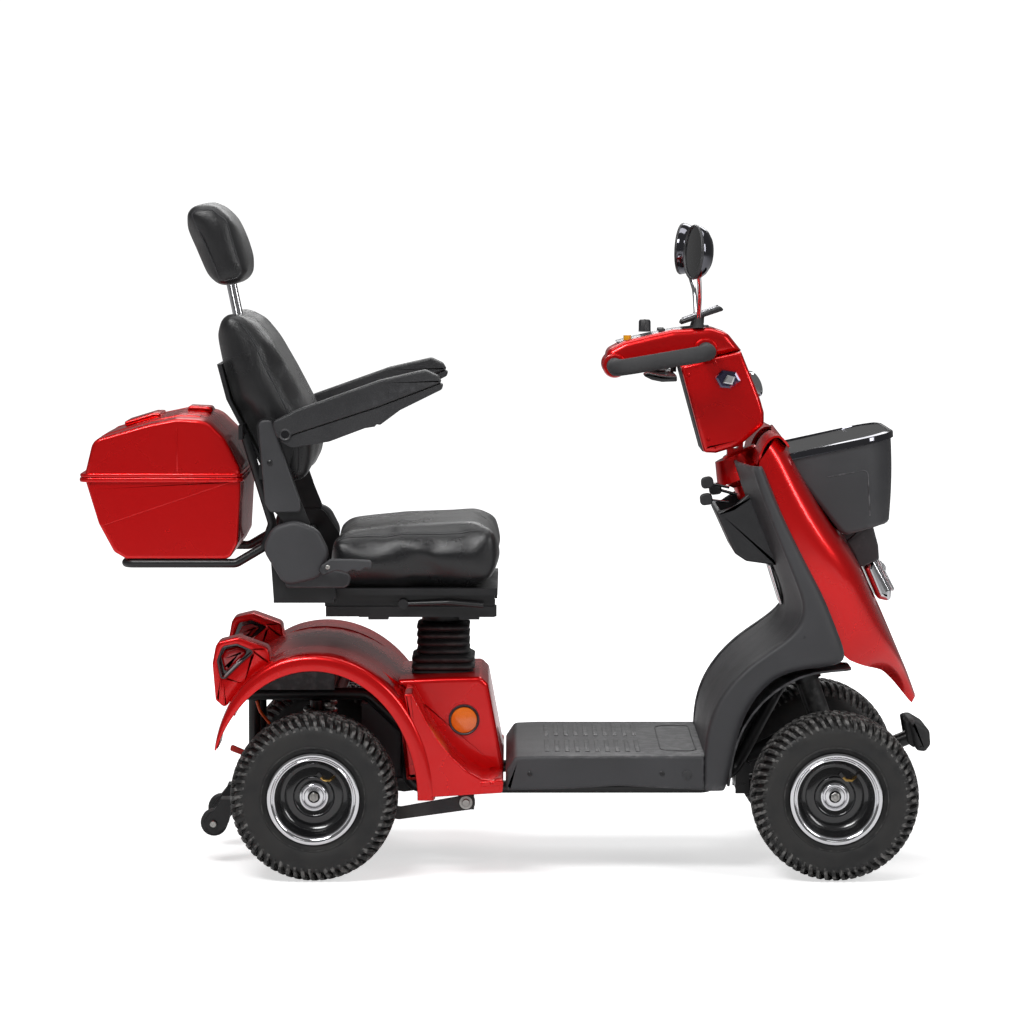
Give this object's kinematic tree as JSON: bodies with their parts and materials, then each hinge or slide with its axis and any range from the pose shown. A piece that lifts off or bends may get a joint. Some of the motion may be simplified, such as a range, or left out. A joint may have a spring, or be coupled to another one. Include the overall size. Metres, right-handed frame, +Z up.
{
  "type": "mobility scooter",
  "caption": "Seated electric mobility scooter with road wheels, tilting steering tiller, swivel armchair seat, lidded cargo box and front basket.",
  "frame": {"origin": "on the ground, at the centre of the scooter's outline seen from above", "axes": "+X forward, +Y to the rider's left, +Z up"},
  "size_m": [1.6967, 0.67, 1.3328],
  "materials": {
    "frame_paint": "satin",
    "drive_unit": "matte",
    "battery_case": "matte",
    "red_paint": "gloss",
    "black_plastic": "satin",
    "grey_plastic": "satin",
    "soft_rubber": "matte",
    "tread_rubber": "matte",
    "alloy": "polished",
    "chrome_trim": "polished",
    "zinc_steel": "satin",
    "lens_red": "gloss",
    "signal_red": "gloss",
    "signal_yellow": "gloss",
    "vinyl": "gloss"
  },
  "bodies": {
    "chassis": {"main_frame": "frame_paint", "batteries": "battery_case", "battery_cover": "red_paint", "bellows": "soft_rubber", "rear_tray": "black_plastic", "fenders": "red_paint", "lenses": "lens_red", "dampers": "zinc_steel", "foot_deck": "grey_plastic", "leg_shield": "grey_plastic", "front_shroud": "red_paint", "storage_pocket": "black_plastic", "headlamp": "chrome_trim", "basket_bracket": "black_plastic", "basket": "black_plastic", "basket_rim": "chrome_trim", "bumper_pad": "soft_rubber", "body_screws": "zinc_steel"},
    "rear_swing": {"transaxle": "drive_unit", "rear_springs": "zinc_steel", "freewheel_cable": "signal_red"},
    "front_link": {"front_axle": "frame_paint", "front_springs": "soft_rubber"},
    "knuckle_left": {"knuckle_left": "frame_paint"},
    "knuckle_right": {"knuckle_right": "frame_paint"},
    "tie_rod": {"tie_rod": "frame_paint"},
    "wheel_front_left": {"tyre_front_left": "tread_rubber", "rim_front_left": "alloy"},
    "wheel_front_right": {"tyre_front_right": "tread_rubber", "rim_front_right": "alloy"},
    "wheel_rear_left": {"tyre_rear_left": "tread_rubber", "rim_rear_left": "alloy"},
    "wheel_rear_right": {"tyre_rear_right": "tread_rubber", "rim_rear_right": "alloy"},
    "anti_tip": {"anti_tip_wheels": "soft_rubber"},
    "freewheel": {"freewheel_lever": "signal_red"},
    "stem": {"steering_stem": "frame_paint"},
    "tiller": {"tiller_column": "red_paint", "tiller_head": "red_paint", "handlebar": "soft_rubber"},
    "throttle": {"throttle_lever": "black_plastic"},
    "knob": {"speed_knob": "black_plastic"},
    "horn": {"horn_button": "signal_yellow"},
    "screen": {"display": "black_plastic"},
    "mirror_left": {"mirror_left": "chrome_trim"},
    "mirror_right": {"mirror_right": "chrome_trim"},
    "swivel": {"seat_swivel": "frame_paint"},
    "seat": {"seat_frame": "frame_paint", "seat_cushion": "vinyl", "recliner_covers": "black_plastic"},
    "recline_release": {"recline_lever": "black_plastic"},
    "slide_release": {"slide_lever": "zinc_steel"},
    "back": {"backrest_frame": "frame_paint", "backrest_cushion": "vinyl", "box_base": "red_paint"},
    "headrest": {"headrest_posts": "chrome_trim", "headrest_pad": "vinyl"},
    "arm_left": {"armrest_left": "black_plastic"},
    "arm_right": {"armrest_right": "black_plastic"},
    "lid": {"box_lid": "red_paint"}
  },
  "joints": [
    {"name": "rear_suspension", "type": "hinge", "parent": "chassis", "child": "rear_swing", "pos_m": [-0.087, 0, 0.139], "axis": [0, 1, 0], "range_deg": [0, 6], "stiffness_Nm_per_rad": 2600, "springref_deg": -10.31, "deforming": ["rear_springs", "freewheel_cable"]},
    {"name": "front_suspension", "type": "hinge", "parent": "chassis", "child": "front_link", "pos_m": [0.47, 0, 0.15], "axis": [0, 1, 0], "range_deg": [-8, 0], "stiffness_Nm_per_rad": 1500, "springref_deg": 12.61, "deforming": ["front_springs"]},
    {"name": "steering", "type": "hinge", "parent": "chassis", "child": "stem", "pos_m": [0.588, 0, 0.56], "axis": [-0.3469, 0, 0.9379], "range_deg": [-35, 35]},
    {"name": "knuckle_left_turn", "type": "hinge", "parent": "front_link", "child": "knuckle_left", "pos_m": [0.638, 0.185, 0.165], "axis": [0, 0, 1], "range_deg": [-32, 32]},
    {"name": "wheel_front_left_spin", "type": "hinge", "parent": "knuckle_left", "child": "wheel_front_left", "pos_m": [0.638, 0.27, 0.165], "axis": [0, 1, 0], "continuous": true},
    {"name": "wheel_rear_left_spin", "type": "hinge", "parent": "rear_swing", "child": "wheel_rear_left", "pos_m": [-0.384, 0.27, 0.165], "axis": [0, 1, 0], "continuous": true},
    {"name": "knuckle_right_turn", "type": "hinge", "parent": "front_link", "child": "knuckle_right", "pos_m": [0.638, -0.185, 0.165], "axis": [0, 0, 1], "range_deg": [-32, 32]},
    {"name": "wheel_front_right_spin", "type": "hinge", "parent": "knuckle_right", "child": "wheel_front_right", "pos_m": [0.638, -0.27, 0.165], "axis": [0, 1, 0], "continuous": true},
    {"name": "wheel_rear_right_spin", "type": "hinge", "parent": "rear_swing", "child": "wheel_rear_right", "pos_m": [-0.384, -0.27, 0.165], "axis": [0, 1, 0], "continuous": true},
    {"name": "tie_rod_turn", "type": "hinge", "parent": "knuckle_left", "child": "tie_rod", "pos_m": [0.554, 0.185, 0.126], "axis": [0, 0, 1], "range_deg": [-32, 32]},
    {"name": "anti_tip_spin", "type": "hinge", "parent": "chassis", "child": "anti_tip", "pos_m": [-0.594, 0, 0.085], "axis": [0, 1, 0], "continuous": true},
    {"name": "freewheel_throw", "type": "hinge", "parent": "rear_swing", "child": "freewheel", "pos_m": [-0.476, 0, 0.199], "axis": [0, 1, 0], "range_deg": [0, 25]},
    {"name": "tiller_tilt", "type": "hinge", "parent": "stem", "child": "tiller", "pos_m": [0.455, 0, 0.838], "axis": [0, 1, 0], "range_deg": [-22, 3]},
    {"name": "throttle_pull", "type": "hinge", "parent": "tiller", "child": "throttle", "pos_m": [0.33, 0, 0.986], "axis": [0, 0, 1], "range_deg": [-7, 7], "stiffness_Nm_per_rad": 2},
    {"name": "speed_knob_turn", "type": "hinge", "parent": "tiller", "child": "knob", "pos_m": [0.272, 0, 1.078], "axis": [0, 0, 1], "range_deg": [-135, 135]},
    {"name": "horn_press", "type": "slide", "parent": "tiller", "child": "horn", "axis": [0, 0, -1], "range_m": [0, 0.003], "stiffness_N_per_m": 400, "springref_m": -0.001},
    {"name": "screen_tilt", "type": "hinge", "parent": "tiller", "child": "screen", "pos_m": [0.386, 0, 1.086], "axis": [0, 1, 0], "range_deg": [-5, 20]},
    {"name": "mirror_left_swivel", "type": "hinge", "parent": "tiller", "child": "mirror_left", "pos_m": [0.378, 0.055, 1.09], "axis": [0, 0, 1], "range_deg": [-30, 30]},
    {"name": "mirror_right_swivel", "type": "hinge", "parent": "tiller", "child": "mirror_right", "pos_m": [0.378, -0.055, 1.09], "axis": [0, 0, 1], "range_deg": [-30, 30]},
    {"name": "seat_turn", "type": "hinge", "parent": "chassis", "child": "swivel", "pos_m": [-0.134, 0, 0.484], "axis": [0, 0, 1], "range_deg": [-90, 90]},
    {"name": "seat_slide", "type": "slide", "parent": "swivel", "child": "seat", "axis": [1, 0, 0], "range_m": [-0.06, 0.09]},
    {"name": "recline_pull", "type": "hinge", "parent": "seat", "child": "recline_release", "pos_m": [-0.362, -0.292, 0.612], "axis": [0, 1, 0], "range_deg": [-20, 0], "stiffness_Nm_per_rad": 3, "springref_deg": 2.86},
    {"name": "slide_pull", "type": "hinge", "parent": "seat", "child": "slide_release", "pos_m": [-0.21, -0.207, 0.536], "axis": [0, 1, 0], "range_deg": [-5, 0], "stiffness_Nm_per_rad": 3, "springref_deg": 2.86},
    {"name": "backrest_recline", "type": "hinge", "parent": "seat", "child": "back", "pos_m": [-0.411, 0, 0.65], "axis": [0, 1, 0], "range_deg": [-14, 50]},
    {"name": "headrest_height", "type": "slide", "parent": "back", "child": "headrest", "axis": [-0.2011, 0, 0.9796], "range_m": [0, 0.07]},
    {"name": "armrest_left_flip", "type": "hinge", "parent": "back", "child": "arm_left", "pos_m": [-0.436, 0.29, 0.878], "axis": [0, 1, 0], "range_deg": [-80, 0]},
    {"name": "armrest_right_flip", "type": "hinge", "parent": "back", "child": "arm_right", "pos_m": [-0.436, -0.29, 0.878], "axis": [0, 1, 0], "range_deg": [-80, 0]},
    {"name": "box_lid_open", "type": "hinge", "parent": "back", "child": "lid", "pos_m": [-0.844, 0, 0.79], "axis": [0, 1, 0], "range_deg": [-80, 0]}
  ],
  "couplings": [
    {"joint": "knuckle_left_turn", "follows": "steering", "ratio": 0.9},
    {"joint": "knuckle_right_turn", "follows": "steering", "ratio": 0.9},
    {"joint": "tie_rod_turn", "follows": "steering", "ratio": -0.9}
  ]
}
